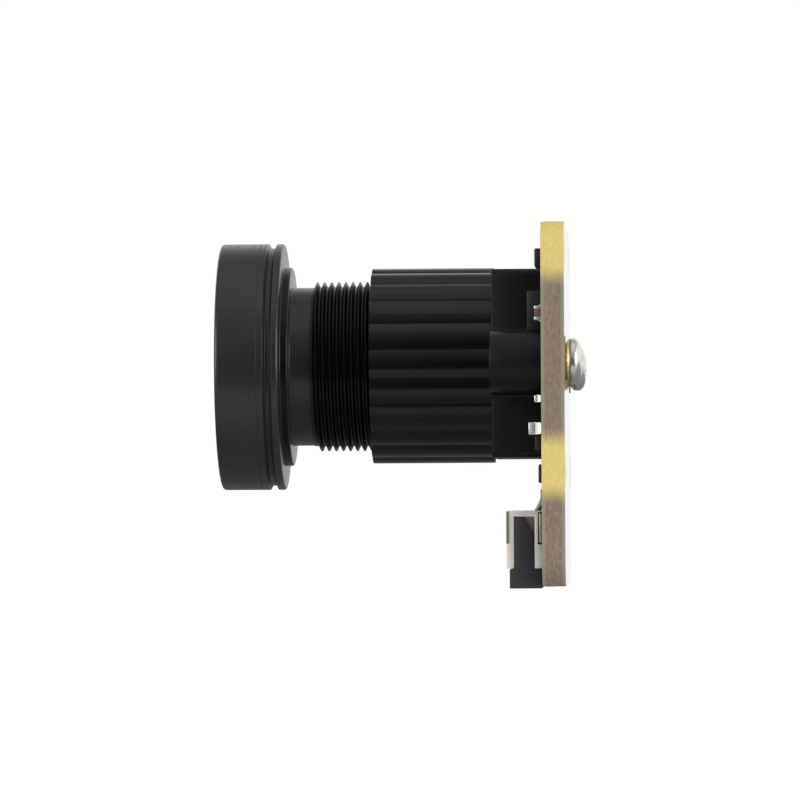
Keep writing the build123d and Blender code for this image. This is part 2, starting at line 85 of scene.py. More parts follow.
# Surroundings: the white tent that the module was photographed in. It is white behind the part
# and at both sides, dimmer above, and dark where the camera and the room behind it stood, so that
# black plastic and black metal get the dark bands that they have in the photograph.
world = bpy.data.worlds.new("white_tent")
scene.world = world
world.use_nodes = True
tree = world.node_tree
tree.nodes.clear()
gradual = {"interpolation_type": "SMOOTHSTEP"}
room_dark, roof_dim, wall_white = 0.06, 0.42, 0.95
back_from, back_full = -0.35, -0.75
back_top, back_top_full = 0.78, 0.48
side_from, side_full = 0.55, 0.8


def linear(hex_colour):
    """Linear colour from an sRGB hex value, as materials take it."""
    channels = [int(hex_colour[i : i + 2], 16) / 255 for i in (1, 3, 5)]
    return [c / 12.92 if c <= 0.04045 else ((c + 0.055) / 1.055) ** 2.4 for c in channels] + [1.0]


def connect(tree, node, inputs):
    """Sets a node's inputs, each to a value, a hex colour, a socket, or a node for its first output."""
    for name, value in inputs.items() if isinstance(inputs, dict) else enumerate(inputs):
        if isinstance(value, bpy.types.Node):
            value = next(socket for socket in value.outputs if socket.enabled)
        if isinstance(value, bpy.types.NodeSocket):
            tree.links.new(value, node.inputs[name])
        else:
            colour = isinstance(value, str) and value.startswith("#")
            node.inputs[name].default_value = linear(value) if colour else value


def add_node(tree, kind, settings=None, inputs=()):
    """Adds a node with its inputs and its settings, which may be just the name of an operation."""
    node = tree.nodes.new(kind)
    for name, value in ({"operation": settings} if isinstance(settings, str) else settings or {}).items():
        setattr(node, name, value)
    connect(tree, node, inputs)
    return node


direction = add_node(tree, "ShaderNodeTexCoord")
sides = add_node(tree, "ShaderNodeSeparateXYZ", None, [direction.outputs["Generated"]]).outputs
backward = add_node(
    tree, "ShaderNodeMapRange", gradual, {"Value": sides["X"], "From Min": back_from, "From Max": back_full}
)
low = add_node(
    tree, "ShaderNodeMapRange", gradual,
    {"Value": sides["Z"], "From Min": back_top, "From Max": back_top_full},
)
back_wall = add_node(tree, "ShaderNodeMath", "MULTIPLY", [backward, low])
sideways = add_node(tree, "ShaderNodeMath", "ABSOLUTE", [sides["Y"]])
side_walls = add_node(
    tree, "ShaderNodeMapRange", gradual, {"Value": sideways, "From Min": side_from, "From Max": side_full}
)
walls = add_node(tree, "ShaderNodeMath", "MAXIMUM", [back_wall, side_walls])
roof = add_node(
    tree, "ShaderNodeMapRange", gradual,
    {"Value": sides["Z"], "From Min": 0.0, "From Max": 0.9, "To Min": room_dark, "To Max": roof_dim},
)
tent = add_node(tree, "ShaderNodeMix", {"data_type": "FLOAT"}, {"Factor": walls, "A": roof, "B": wall_white})
ray = add_node(tree, "ShaderNodeLightPath").outputs
plain_white = add_node(tree, "ShaderNodeMath", "MAXIMUM", [ray["Is Camera Ray"], ray["Is Transmission Ray"]])
strength = add_node(
    tree, "ShaderNodeMix", {"data_type": "FLOAT"}, {"Factor": plain_white, "A": tent, "B": 1.0}
)
background = add_node(
    tree, "ShaderNodeBackground", None, {"Color": (1.0, 1.0, 1.0, 1.0), "Strength": strength}
)
add_node(tree, "ShaderNodeOutputWorld", None, {"Surface": background})

# Table: a plain white sheet under the part, which takes its soft shadow. Its near edge is close in
# front of the part. The metal mirrors it dimly, and more brightly towards that edge.
table_drop = 25 * MM
table_back, table_front = -0.9, 0.11
table_half = 0.9
table_height = cad_low.z - table_drop
mirror_from, mirror_full, mirror_dim, mirror_bright = 0.015, 0.055, 0.18, 0.52
seen_white, glow_share = 1.06, 0.9
table_mesh = bpy.data.meshes.new("table")
table_corners = [(table_back, -1), (table_front, -1), (table_front, 1), (table_back, 1)]
table_points = [(x, side * table_half, table_height) for x, side in table_corners]
table_mesh.from_pydata(table_points, [], [range(4)])
table = bpy.data.objects.new("table", table_mesh)
bpy.context.collection.objects.link(table)


def place_on(tree):
    """Place on the piece that a material is on, whole and as its X, Y and Z."""
    place = add_node(tree, "ShaderNodeTexCoord").outputs["Object"]
    return place, add_node(tree, "ShaderNodeSeparateXYZ", None, [place]).outputs


table_white = bpy.data.materials.new("white_table")
table_white.use_nodes = True
tree = table_white.node_tree
tree.nodes.clear()
place, parts = place_on(tree)
mirrored = add_node(
    tree, "ShaderNodeMapRange", gradual,
    {"Value": parts["X"], "From Min": mirror_from, "From Max": mirror_full,
     "To Min": mirror_dim, "To Max": mirror_bright},
)
ray = add_node(tree, "ShaderNodeLightPath").outputs
brightness = add_node(
    tree, "ShaderNodeMix", {"data_type": "FLOAT"},
    {"Factor": ray["Is Glossy Ray"], "A": seen_white, "B": mirrored},
)
paper = add_node(tree, "ShaderNodeBsdfDiffuse", None, {"Color": "#f4f4f3"})
glow = add_node(tree, "ShaderNodeEmission", None, {"Strength": brightness})
seen = add_node(tree, "ShaderNodeMath", "MAXIMUM", [ray["Is Camera Ray"], ray["Is Glossy Ray"]])
seen_or_through = add_node(tree, "ShaderNodeMath", "MAXIMUM", [seen, ray["Is Transmission Ray"]])
share = add_node(tree, "ShaderNodeMath", "MULTIPLY", [seen_or_through, glow_share])
lit_table = add_node(tree, "ShaderNodeMixShader", None, [share, paper, glow])
add_node(tree, "ShaderNodeOutputMaterial", None, {"Surface": lit_table})
table_mesh.materials.append(table_white)

# Lamps: a wide, weak soft box overhead, and a stronger one at each side of the camera. The side
# ones light what faces the camera, and no round surface about the lens axis mirrors them.
for name, lamp_place, width, energy in [
    ("soft_box_above", (0.12, -0.02, 0.5), 0.45, 0.2),
    ("soft_box_lens_side", (0.34, -0.42, 0.12), 0.34, 1.1),
    ("soft_box_board_side", (0.32, 0.44, 0.12), 0.34, 1.6),
]:
    lamp = bpy.data.lights.new(name, "AREA")
    lamp.size = width
    lamp.energy = energy
    lamp_object = bpy.data.objects.new(name, lamp)
    lamp_object.location = lamp_place
    lamp_object.rotation_euler = (-lamp_object.location).to_track_quat("-Z", "Y").to_euler()
    bpy.context.collection.objects.link(lamp_object)


# Circuit board: glass-fibre laminate with green solder mask on both faces, cut out by a router.
# The cut edge shows the weave of the glass in thin bands, brown, and yellow where the resin is
# thick, between two pale skins. It isn't quite true along the cut.
board_low, board_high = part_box("circuit_board")
thickness = (board_high.y - board_low.y) / MM
half_width = board_high.x / MM
top, bottom = board_high.z / MM, board_low.z / MM
corner_radius = 2.0
mask_thickness = 0.035
edge_break, edge_wander = 0.03, 0.045
wander_along, wander_through, wander_base = 0.9, 1.6, 0.4
mount_across, mount_up, mount_radius = 10.5, 7.5, 1.1
screw_place, screw_hole = 10.0, 0.95
hole_places = [(x, z, mount_radius) for x in (-mount_across, mount_across) for z in (-mount_up, mount_up)]
hole_places += [(x, 0, screw_hole) for x in (-screw_place, screw_place)]


def piece_from(bm, name, sharp_angle=32):
    """Object from a finished mesh: smooth, with its true edges kept crisp."""
    mesh = bpy.data.meshes.new(name)
    bm.to_mesh(mesh)
    bm.free()
    mesh.shade_smooth()
    mesh.set_sharp_from_angle(angle=math.radians(sharp_angle))
    piece = bpy.data.objects.new(name, mesh)
    bpy.context.collection.objects.link(piece)
    return piece


def spot(x, ahead, z):
    """Place in metres, from mm: across the board, ahead of its front face, and up."""
    return (x * MM, -(thickness + ahead) * MM, z * MM)


def joined(bm, rings):
    """Faces between closed rings of vertices, from each ring to the next."""
    for low, high in zip(rings, rings[1:]):
        for k in range(len(low)):
            j = (k + 1) % len(low)
            bm.faces.new((low[k], low[j], high[j], high[k]))


def filled(bm, rings):
    """Flat face between closed rings of vertices, one of them around the others."""
    edges = [bm.edges.get((ring[k - 1], ring[k])) for ring in rings for k in range(len(ring))]
    bmesh.ops.triangle_fill(bm, edges=edges, use_beauty=True)


def rounded_rectangle(left, right, low, high, radius, steps=10, spacing=0.5):
    """Outline of a plate with round corners, with points at a steady spacing along its sides."""
    points = []
    corners = (
        (right - radius, high - radius, 0), (left + radius, high - radius, 90),
        (left + radius, low + radius, 180), (right - radius, low + radius, 270),
    )
    for i, (x, z, start) in enumerate(corners):
        for k in range(steps + 1):
            a = math.radians(start + 90 * k / steps)
            points.append(Vector((x + radius * math.cos(a), z + radius * math.sin(a))))
        nx, nz, turn = corners[(i + 1) % 4]
        a = math.radians(turn)
        target = Vector((nx + radius * math.cos(a), nz + radius * math.sin(a)))
        here = points[-1]
        count = max(1, int((target - here).length / spacing))
        points += [here.lerp(target, k / count) for k in range(1, count)]
    return points


bm = bmesh.new()
outline = rounded_rectangle(-half_width, half_width, bottom, top, corner_radius)
centre = Vector((0, (top + bottom) / 2))
loops = [outline]
for x, z, radius in hole_places:
    angles = [math.tau * k / 40 for k in range(40)]
    loops.append([Vector((x + radius * math.cos(a), z + radius * math.sin(a))) for a in angles])
levels = [0, mask_thickness, *[thickness * k / 8 for k in range(1, 8)], thickness - mask_thickness, thickness]
stacks = []
for number, loop in enumerate(loops):
    stack = []
    for depth in levels:
        inset = edge_break if depth in (levels[0], levels[-1]) else 0.0
        level = []
        for p in loop:
            if number == 0:
                here = Vector((p.x * wander_along, p.y * wander_along, depth * wander_through))
                rough = wander_base + noise.noise(here)
                q = p + (centre - p).normalized() * (inset + edge_wander * max(0.0, rough))
            else:
                x, z, radius = hole_places[number - 1]
                q = Vector((x, z)) + (p - Vector((x, z))) * (radius + inset) / radius
            level.append(bm.verts.new((q.x * MM, -depth * MM, q.y * MM)))
        stack.append(level)
    stacks.append(stack)
for stack in stacks:
    joined(bm, stack)
for end in (0, -1):
    filled(bm, [stack[end] for stack in stacks])
bmesh.ops.recalc_face_normals(bm, faces=bm.faces)
board = piece_from(bm, "laminate_board")


def surface(name, **settings):
    """Starts a material: its node tree and its shader, with settings on the shader's own sockets."""
    material = bpy.data.materials.new(name)
    material.use_nodes = True
    tree = material.node_tree
    tree.nodes.clear()
    sockets = {key.replace("_", " "): value for key, value in settings.items()}
    shader = add_node(tree, "ShaderNodeBsdfPrincipled", None, sockets)
    add_node(tree, "ShaderNodeOutputMaterial", None, {"Surface": shader})
    return material, tree, shader


def patterned(tree, shader, pattern, shades=None, sheens=None, relief=None):
    """Shows a pattern in a surface: a node, or the (count to the mm, detail) of a grain on the piece.

    It shows as shades, two colours, as sheens, two roughnesses, or as a relief of (strength, depth in mm).
    """
    if isinstance(pattern, tuple):
        place = add_node(tree, "ShaderNodeTexCoord").outputs["Object"]
        grain = {"Vector": place, "Scale": pattern[0] / MM, "Detail": pattern[1]}
        pattern = add_node(tree, "ShaderNodeTexNoise", None, grain)
    if shades:
        both = {"Factor": pattern, "A": shades[0], "B": shades[1]}
        connect(tree, shader, {"Base Color": add_node(tree, "ShaderNodeMix", {"data_type": "RGBA"}, both)})
    if sheens:
        span = {"Value": pattern, "From Min": 0.3, "From Max": 0.7, "To Min": sheens[0], "To Max": sheens[1]}
        connect(tree, shader, {"Roughness": add_node(tree, "ShaderNodeMapRange", None, span)})
    if relief:
        bump = {"Strength": relief[0], "Distance": relief[1] * MM, "Height": pattern}
        connect(tree, shader, {"Normal": add_node(tree, "ShaderNodeBump", None, bump)})


# Solder mask: a green liquid film, cured to a satin coat over the copper, which stands a little
# proud and shows lighter than the bare laminate.
solder_mask, tree, shader = surface(
    "green_solder_mask", Roughness=0.2, IOR=1.52, Coat_Weight=1.0, Coat_Roughness=0.06
)
place, parts = place_on(tree)
track_pitch, track_run, track_share = 0.42 * MM, 9.0 * MM, 0.4
lane_spacing, bare_share, film_share = 0.31, 0.6, 0.12
via_count, via_radius = 0.52, 0.1
tracks = []
for across, running in (("X", "Z"), ("Z", "X")):
    lane = add_node(tree, "ShaderNodeMath", "SNAP", [parts[across], track_pitch])
    lane_number = add_node(tree, "ShaderNodeMath", "DIVIDE", [lane, track_pitch * lane_spacing])
    run = add_node(tree, "ShaderNodeMath", "DIVIDE", [parts[running], track_run])
    lane_place = add_node(tree, "ShaderNodeCombineXYZ", None, {"X": lane_number, "Y": run})
    present = add_node(tree, "ShaderNodeTexNoise", None, {"Vector": lane_place, "Scale": 1.0, "Detail": 0.0})
    there = add_node(tree, "ShaderNodeMath", "GREATER_THAN", [present, bare_share])
    within = add_node(tree, "ShaderNodeMath", "WRAP", [parts[across], track_pitch, 0.0])
    narrow = add_node(tree, "ShaderNodeMath", "LESS_THAN", [within, track_pitch * track_share])
    track = add_node(tree, "ShaderNodeMath", "MULTIPLY", [there, narrow])
    tracks.append(track)
any_track = add_node(tree, "ShaderNodeMath", "MAXIMUM", [tracks[0], tracks[1]])
via_spots = add_node(tree, "ShaderNodeTexVoronoi", None, {"Vector": place, "Scale": via_count / MM})
via = add_node(tree, "ShaderNodeMath", "LESS_THAN", [via_spots, via_radius])
copper = add_node(tree, "ShaderNodeMath", "MAXIMUM", [any_track, via])
patterned(tree, shader, copper, shades=("#1a4528", "#235433"))
film = add_node(tree, "ShaderNodeTexNoise", None, {"Vector": place, "Scale": 2.2 / MM})
height = add_node(tree, "ShaderNodeMath", "MULTIPLY_ADD", [film, film_share, copper])
patterned(tree, shader, height, relief=(0.4, 0.02))

# Cut laminate: fine glass cloth in resin, brown with a drift of pink and grey, paler and greener
# in the skins, and yellow where the resin is clear.
skin_from, skin_full = thickness / 2 - 0.3, thickness / 2 - 0.15
upper_from, upper_full = 5.4, 7.1
lower_middle, lower_reach, lower_full = -6.75, 2.7, 1.1
zone_drift = 0.8
weave_counts = (2.6 / MM, 6.5 / MM, 2.6 / MM)
cut_laminate, tree, shader = surface("cut_glass_laminate", Roughness=0.6, IOR=1.5)
place, parts = place_on(tree)
fibres = add_node(tree, "ShaderNodeVectorMath", "MULTIPLY", [place, weave_counts])
weave = add_node(tree, "ShaderNodeTexNoise", None, {"Vector": fibres, "Scale": 1.0, "Detail": 4.0})
core = add_node(tree, "ShaderNodeMapRange", None, {"Value": weave, "From Min": 0.3, "From Max": 0.7})
drift = add_node(tree, "ShaderNodeTexNoise", None, {"Vector": place, "Scale": 0.26 / MM, "Detail": 2.0})
hue = add_node(tree, "ShaderNodeMapRange", gradual, {"Value": drift, "From Min": 0.3, "From Max": 0.75})
dark_core, light_core = (
    add_node(tree, "ShaderNodeMix", {"data_type": "RGBA"}, {"Factor": hue, "A": brown, "B": pink})
    for brown, pink in (("#766858", "#7d695c"), ("#92856f", "#978170"))
)
core_colour = add_node(
    tree, "ShaderNodeMix", {"data_type": "RGBA"}, {"Factor": core, "A": dark_core, "B": light_core}
)
from_middle = add_node(tree, "ShaderNodeMath", "ADD", [parts["Y"], thickness / 2 * MM])
from_middle_plain = add_node(tree, "ShaderNodeMath", "ABSOLUTE", [from_middle])
skin = add_node(
    tree, "ShaderNodeMapRange", gradual,
    {"Value": from_middle_plain, "From Min": skin_from * MM, "From Max": skin_full * MM},
)
skin_colour = add_node(
    tree, "ShaderNodeMix", {"data_type": "RGBA"}, {"Factor": skin, "A": core_colour, "B": "#8f8c79"}
)
resin_colour = add_node(
    tree, "ShaderNodeMix", {"data_type": "RGBA"}, {"Factor": core, "A": "#dcc673", "B": "#e6d180"}
)
moved = add_node(tree, "ShaderNodeMath", "MULTIPLY_ADD", [drift, zone_drift * MM, parts["Z"]])
upper = add_node(
    tree, "ShaderNodeMapRange", gradual,
    {"Value": moved, "From Min": upper_from * MM, "From Max": upper_full * MM},
)
from_low_band = add_node(tree, "ShaderNodeMath", "ADD", [moved, -lower_middle * MM])
distance_low = add_node(tree, "ShaderNodeMath", "ABSOLUTE", [from_low_band])
lower = add_node(
    tree, "ShaderNodeMapRange", gradual,
    {"Value": distance_low, "From Min": lower_reach * MM, "From Max": lower_full * MM},
)
resin = add_node(tree, "ShaderNodeMath", "MAXIMUM", [upper, lower])
patterned(tree, shader, resin, shades=(skin_colour, resin_colour))
patterned(tree, shader, weave, relief=(0.5, 0.02))
board.data.materials.append(solder_mask)
board.data.materials.append(cut_laminate)
for polygon in board.data.polygons:
    polygon.material_index = 0 if abs(polygon.normal.y) > 0.9 else 1
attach(board, "board")
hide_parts("circuit_board")

# Pads under the screw heads: gold flash over nickel and copper, bare of solder mask. Each is a
# flat ring around its screw's hole.
gold_flash, tree, shader = surface("gold_flash", Metallic=1.0, Base_Color="#f6dba4", Roughness=0.45)
patterned(tree, shader, (5.0, 4.0), relief=(0.3, 0.01))


def eased(corners, radius, steps=3):
    """Closed outline with its corners rounded. radius is one number, or a list with one for each corner."""
    points = []
    corners = [Vector(c) for c in corners]
    for i, corner in enumerate(corners):
        before, after = corners[i - 1] - corner, corners[(i + 1) % len(corners)] - corner
        own = radius[i] if isinstance(radius, list) else radius
        opening = before.angle(after)
        if own <= 0 or opening > math.radians(176):
            points.append(corner)
            continue
        reach = min(own / math.tan(opening / 2), before.length * 0.46, after.length * 0.46)
        start, end = corner + before.normalized() * reach, corner + after.normalized() * reach
        for k in range(steps + 1):
            t = k / steps
            points.append(start * (1 - t) ** 2 + corner * 2 * t * (1 - t) + end * t**2)
    return points


def turned(name, outline, steps=192, front=None):
    """Solid of revolution about the lens axis.

    outline is closed, of (radius, place ahead of the board's front face, or of front) in mm.
    """
    face = thickness if front is None else front
    bm = bmesh.new()
    rings = []
    for k in range(steps):
        a = math.tau * k / steps
        rings.append([
            bm.verts.new((r * math.cos(a) * MM, -(face + ahead) * MM, r * math.sin(a) * MM))
            for r, ahead in outline
        ])
    for k in range(steps):
        here, after = rings[k], rings[(k + 1) % steps]
        for i in range(len(outline)):
            j = (i + 1) % len(outline)
            if outline[i][0] > 1e-6 or outline[j][0] > 1e-6:
                bm.faces.new((here[i], here[j], after[j], after[i]))
    bmesh.ops.remove_doubles(bm, verts=bm.verts, dist=1e-8)
    bmesh.ops.recalc_face_normals(bm, faces=bm.faces)
    return piece_from(bm, name)


def dressed(piece, material, body, slot, *nodes):
    """Gives a piece its material and its place in the frame."""
    piece.data.materials.clear()
    piece.data.materials.append(material)
    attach(piece, body)
    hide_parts(*nodes)


def at_both_screws(name, piece, turns=(0, 0), sharp_angle=32):
    """A piece made at the lens axis goes to each screw's place with its turn, as one new piece."""
    bm = bmesh.new()
    for x, turn in zip((-screw_place, screw_place), turns):
        placed = piece.data.copy()
        placed.transform(Matrix.Translation((x * MM, 0, 0)) @ Matrix.Rotation(math.radians(turn), 4, "Y"))
        bm.from_mesh(placed)
    bpy.data.objects.remove(piece)
    return piece_from(bm, name, sharp_angle)


pad_radius, pad_thickness, pad_round = 1.78, 0.05, 0.015
pad_corners = [(screw_hole, -pad_thickness), (pad_radius, -pad_thickness), (pad_radius, 0), (screw_hole, 0)]
pad = turned("pad", eased(pad_corners, pad_round, 2), steps=96, front=0)
dressed(at_both_screws("gold_pads", pad), gold_flash, "board", "gold_pad", "screw_pads")

# Holder screws: pan heads with a cross recess, cold formed from steel wire and nickel plated.
nickel_plate, tree, shader = surface("nickel_plate", Metallic=1.0, Base_Color="#ebe7e1")
patterned(tree, shader, (1.8, 5.0), sheens=(0.2, 0.36), relief=(0.25, 0.01))


def bake(piece):
    """Works a piece's modifiers into its mesh."""
    depsgraph = bpy.context.evaluated_depsgraph_get()
    piece.data = bpy.data.meshes.new_from_object(piece.evaluated_get(depsgraph), depsgraph=depsgraph)
    piece.modifiers.clear()


screw_tip, shank_radius = 4.35, 0.8
pan_radius, pan_height, pan_rim = 1.6, 1.15, 0.42
fullness = 2 / 2.6
recess_depth = 0.85
recess_ends = [(pan_height + 0.2, 0.88, 0.23), (pan_height - 0.5, 0.5, 0.16)]
pan_outline = [
    (0, screw_tip), (0.55, screw_tip), (shank_radius, screw_tip - 0.25), (shank_radius, -pad_thickness),
    (1.24, -pad_thickness), (1.42, -pad_thickness - 0.08), (1.56, -pad_thickness - 0.25),
    (pan_radius, -pad_thickness - 0.4),
]
for k in range(17):
    a = math.pi / 2 * k / 16
    rise = pan_rim + (1 - pan_rim) * math.sin(a) ** fullness
    pan_outline.append((pan_radius * max(0.0, math.cos(a)) ** fullness, -pad_thickness - pan_height * rise))
pan_screw = turned("pan_screw", pan_outline, steps=72, front=0)
bm = bmesh.new()
cross_ends = []
for behind, reach, half in recess_ends:
    cross = []
    for turn in range(4):
        c, s = math.cos(math.pi / 2 * turn), math.sin(math.pi / 2 * turn)
        cross += [(x * c - z * s, x * s + z * c) for x, z in ((half, -half), (reach, -half), (reach, half))]
    cross_ends.append([bm.verts.new((x * MM, (pad_thickness + behind) * MM, z * MM)) for x, z in cross])
tip = bm.verts.new((0, (pad_thickness + pan_height - recess_depth) * MM, 0))
wide_end, narrow_end = cross_ends
bm.faces.new(wide_end)
for k in range(12):
    j = (k + 1) % 12
    bm.faces.new((wide_end[k], narrow_end[k], narrow_end[j], wide_end[j]))
    bm.faces.new((narrow_end[k], tip, narrow_end[j]))
bmesh.ops.recalc_face_normals(bm, faces=bm.faces)
cross_cutter = piece_from(bm, "cross_cutter")
cut = pan_screw.modifiers.new("cut", "BOOLEAN")
cut.operation, cut.solver, cut.object = "DIFFERENCE", "EXACT", cross_cutter
bake(pan_screw)
bpy.data.objects.remove(cross_cutter)
pan_screws = at_both_screws("pan_head_screws", pan_screw, (20, 63), 30)
dressed(pan_screws, nickel_plate, "board", "screw_steel", "holder_screws")

# Lens holder: one moulding of black glass-filled plastic, a square base with a screw ear on each
# side and a round barrel with shallow reeds to grip. The two screws hold it from behind. The
# mould was polished for the barrel, and left with a fine grain on the base.
base_depth, barrel_length = 3.55, 8.5
barrel_front = base_depth + barrel_length
reeded_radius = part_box("lens_holder")[1].z / MM
reed_count, reed_radius = 22, 2.0
bore_radius, lead_in = 6.02, 0.3
sunk = 0.05


def new_tree(name, sizes, counts=()):
    """Starts a geometry node tree with named inputs; returns it with what its inputs give."""
    tree = bpy.data.node_groups.new(name, "GeometryNodeTree")
    tree.interface.new_socket(name="Geometry", in_out="OUTPUT", socket_type="NodeSocketGeometry")
    inputs = {"Geometry": ["Geometry"], "Float": sizes, "Int": counts, "Material": ["Material"]}
    for kind, names in inputs.items():
        for socket in names:
            tree.interface.new_socket(name=socket, in_out="INPUT", socket_type="NodeSocket" + kind)
    return tree, add_node(tree, "NodeGroupInput").outputs


def finish_tree(tree, given, geometry):
    """Ends a tree in real geometry with its material."""
    real = add_node(tree, "GeometryNodeRealizeInstances", None, [geometry])
    finished = add_node(
        tree, "GeometryNodeSetMaterial", None, {"Geometry": real, "Material": given["Material"]}
    )
    add_node(tree, "NodeGroupOutput", None, [finished])


def grown(piece, tree, values, sharp_angle=32):
    """Runs a tree on a piece with its named inputs set, and keeps the result as a plain mesh."""
    modifier = piece.modifiers.new(tree.name, "NODES")
    modifier.node_group = tree
    for item in tree.interface.items_tree:
        if item.in_out == "INPUT" and item.name in values:
            modifier[item.identifier] = values[item.name]
    bake(piece)
    piece.data.name = piece.name
    piece.data.shade_smooth()
    piece.data.set_sharp_from_angle(angle=math.radians(sharp_angle))


holder_black, tree, shader = surface("moulded_black_plastic", Base_Color="#0e0e10", IOR=1.5)
place, parts = place_on(tree)
flow = add_node(tree, "ShaderNodeVectorMath", "MULTIPLY", [place, (1.0, 1.0, 0.35)])
grain = add_node(tree, "ShaderNodeTexNoise", None, {"Vector": flow, "Scale": 3.8 / MM, "Detail": 4.0})
cloud = add_node(tree, "ShaderNodeTexNoise", None, {"Vector": place, "Scale": 0.42 / MM, "Detail": 2.0})
sheen = add_node(
    tree, "ShaderNodeMapRange", None,
    {"Value": cloud, "From Min": 0.3, "From Max": 0.7, "To Min": 0.15, "To Max": 0.22},
)
base_rougher, plastic_shine, base_duller = 0.2, 0.35, -0.1
base_front_y = -(thickness + base_depth + sunk) * MM
on_base = add_node(tree, "ShaderNodeMath", "GREATER_THAN", [parts["Y"], base_front_y])
roughness = add_node(tree, "ShaderNodeMath", "MULTIPLY_ADD", [on_base, base_rougher, sheen])
connect(tree, shader, {"Roughness": roughness})
shine = add_node(tree, "ShaderNodeMath", "MULTIPLY_ADD", [on_base, base_duller, plastic_shine])
connect(tree, shader, {"Specular IOR Level": shine})
patterned(tree, shader, grain, relief=(0.12, 0.006))

barrel_rear = base_depth - sunk
barrel_corners = [
    (bore_radius, barrel_rear), (reeded_radius, barrel_rear), (reeded_radius, barrel_front),
    (bore_radius + lead_in, barrel_front), (bore_radius, barrel_front - lead_in),
]
barrel_outline = eased(barrel_corners, [0, 0, 0.09, 0.03, 0.03])
reeded_barrel = turned("reeded_barrel", barrel_outline, steps=reed_count * 14)

tree, given = new_tree("reeds", ["Reed count", "Reed radius", "Outer radius", "Wall beyond"])
position = add_node(tree, "GeometryNodeInputPosition")
xyz = add_node(tree, "ShaderNodeSeparateXYZ", None, [position]).outputs
angle = add_node(tree, "ShaderNodeMath", "ARCTAN2", [xyz["Z"], xyz["X"]])
step = add_node(tree, "ShaderNodeMath", "DIVIDE", [math.tau, given["Reed count"]])
half_step = add_node(tree, "ShaderNodeMath", "DIVIDE", [step, 2.0])
shifted = add_node(tree, "ShaderNodeMath", "ADD", [angle, half_step])
folded = add_node(tree, "ShaderNodeMath", "FLOORED_MODULO", [shifted, step])
aside = add_node(tree, "ShaderNodeMath", "SUBTRACT", [folded, half_step])
middle_radius = add_node(tree, "ShaderNodeMath", "SUBTRACT", [given["Outer radius"], given["Reed radius"]])
cosine = add_node(tree, "ShaderNodeMath", "COSINE", [aside])
sine = add_node(tree, "ShaderNodeMath", "SINE", [aside])
out = add_node(tree, "ShaderNodeMath", "MULTIPLY", [middle_radius, cosine])
off = add_node(tree, "ShaderNodeMath", "MULTIPLY", [middle_radius, sine])
off_squared = add_node(tree, "ShaderNodeMath", "MULTIPLY", [off, off])
reed_squared = add_node(tree, "ShaderNodeMath", "MULTIPLY", [given["Reed radius"], given["Reed radius"]])
left_over = add_node(tree, "ShaderNodeMath", "SUBTRACT", [reed_squared, off_squared])
rise = add_node(tree, "ShaderNodeMath", "SQRT", [left_over])
reach = add_node(tree, "ShaderNodeMath", "ADD", [out, rise])
scaling = add_node(tree, "ShaderNodeMath", "DIVIDE", [reach, given["Outer radius"]])
three_scales = add_node(tree, "ShaderNodeCombineXYZ", None, {"X": scaling, "Y": 1.0, "Z": scaling})
reeded_place = add_node(tree, "ShaderNodeVectorMath", "MULTIPLY", [position, three_scales])
flat_spot = add_node(tree, "ShaderNodeCombineXYZ", None, {"X": xyz["X"], "Z": xyz["Z"]})
from_axis = add_node(tree, "ShaderNodeVectorMath", "LENGTH", [flat_spot])
on_wall = add_node(tree, "FunctionNodeCompare", "GREATER_THAN", {"A": from_axis, "B": given["Wall beyond"]})
moved = add_node(
    tree, "GeometryNodeSetPosition", None,
    {"Geometry": given["Geometry"], "Selection": on_wall, "Position": reeded_place},
)
finish_tree(tree, given, moved)
grown(reeded_barrel, tree, {
    "Reed count": float(reed_count), "Reed radius": reed_radius * MM, "Outer radius": reeded_radius * MM,
    "Wall beyond": (bore_radius + lead_in + 0.2) * MM, "Material": holder_black,
}, sharp_angle=24)

base_half, base_corner = 6.55, 0.5
ear_radius, ear_root = 2.1, 0.35
around_ear = [math.radians(a) for a in range(0, 181, 9)]
ear = [(screw_place + ear_radius * math.sin(a), -ear_radius * math.cos(a)) for a in around_ear]
ear_side = [(base_half, -ear_radius), *ear, (base_half, ear_radius)]
ear_rounds = [ear_root, *[0] * len(ear), ear_root]
base_corners, base_rounds = [], []
for turn in range(4):
    has_ear = turn % 2 == 0
    c, s = round(math.cos(math.pi / 2 * turn)), round(math.sin(math.pi / 2 * turn))
    side = [(base_half, -base_half), *(ear_side if has_ear else [])]
    base_corners += [(x * c - z * s, x * s + z * c) for x, z in side]
    base_rounds += [base_corner, *(ear_rounds if has_ear else [])]
base_outline = eased(base_corners, base_rounds, steps=5)
edge_round, rear_break = 0.1, 0.03
window_radius, window_floor = 4.0, 3.2
room_half, room_depth = 5.2, 2.1
bm = bmesh.new()
rims = []
for ahead, inset in [
    (0.0, rear_break), (rear_break, 0.0), (base_depth - edge_round, 0.0),
    (base_depth - edge_round * 0.3, edge_round * 0.3), (base_depth, edge_round),
]:
    ring = []
    for i, p in enumerate(base_outline):
        along_side = (base_outline[(i + 1) % len(base_outline)] - base_outline[i - 1]).normalized()
        q = p + Vector((-along_side.y, along_side.x)) * inset
        ring.append(bm.verts.new(spot(q.x, ahead, q.y)))
    rims.append(ring)
hole = []
for ahead, radius in [
    (base_depth, bore_radius), (window_floor, bore_radius), (window_floor, window_radius),
    (room_depth, window_radius),
]:
    angles = [math.tau * k / 96 for k in range(96)]
    hole.append([bm.verts.new(spot(radius * math.cos(a), ahead, radius * math.sin(a))) for a in angles])
room = []
for ahead in (room_depth, 0.0):
    corners = ((-1, -1), (1, -1), (1, 1), (-1, 1))
    room.append([bm.verts.new(spot(x * room_half, ahead, z * room_half)) for x, z in corners])
for rings in (rims, hole, room):
    joined(bm, rings)
